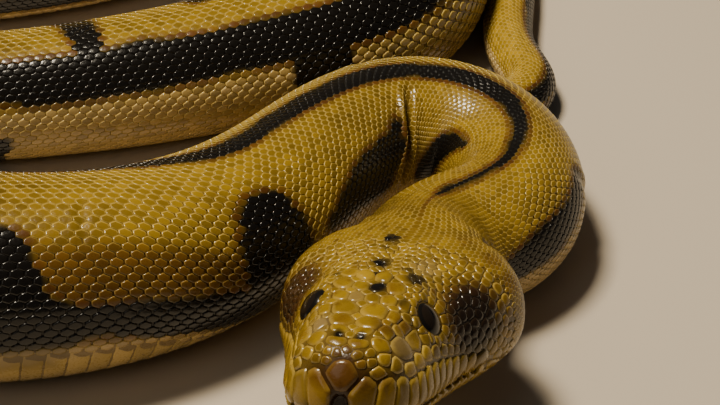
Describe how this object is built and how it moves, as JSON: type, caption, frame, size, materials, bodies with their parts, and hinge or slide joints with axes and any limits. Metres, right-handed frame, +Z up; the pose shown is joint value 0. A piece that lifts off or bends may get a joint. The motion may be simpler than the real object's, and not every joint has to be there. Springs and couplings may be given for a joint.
{
  "type": "coiled python snake model",
  "caption": "Life-size still model of a large patterned python lying in a loose coil, with its raised head resting at the near side of the coil.",
  "frame": {"origin": "middle of the coil's bounding box, on the floor it rests on", "axes": "+Z up, +Y along the coil's longest side and away from the head; the head faces -Y; +X is to the right of someone standing in front of the head"},
  "size_m": [0.5743, 0.6963, 0.1588],
  "materials": {
    "scaled_skin": "smooth overlapping scales with a soft sheen: gold and olive flanks with black bands, a black line along the back and a cream belly",
    "jaw_skin": "smooth yellow lip shields with cream edges, and a pale throat",
    "eye": "clear, glossy spectacle over a dark iris"
  },
  "bodies": {
    "root": {"eye_left": "eye", "eye_right": "eye", "head": "scaled_skin", "lower_jaw": "jaw_skin", "neck_01": "scaled_skin", "neck_02": "scaled_skin", "neck_03": "scaled_skin", "neck_04": "scaled_skin", "tail_01": "scaled_skin", "tail_02": "scaled_skin", "tail_03": "scaled_skin", "tail_04": "scaled_skin", "trunk_01": "scaled_skin", "trunk_02": "scaled_skin", "trunk_03": "scaled_skin", "trunk_04": "scaled_skin", "trunk_05": "scaled_skin", "trunk_06": "scaled_skin", "trunk_07": "scaled_skin", "trunk_08": "scaled_skin", "trunk_09": "scaled_skin", "trunk_10": "scaled_skin", "trunk_11": "scaled_skin", "trunk_12": "scaled_skin", "trunk_13": "scaled_skin", "trunk_14": "scaled_skin", "trunk_15": "scaled_skin", "trunk_16": "scaled_skin", "trunk_17": "scaled_skin", "trunk_18": "scaled_skin"}
  },
  "joints": []
}
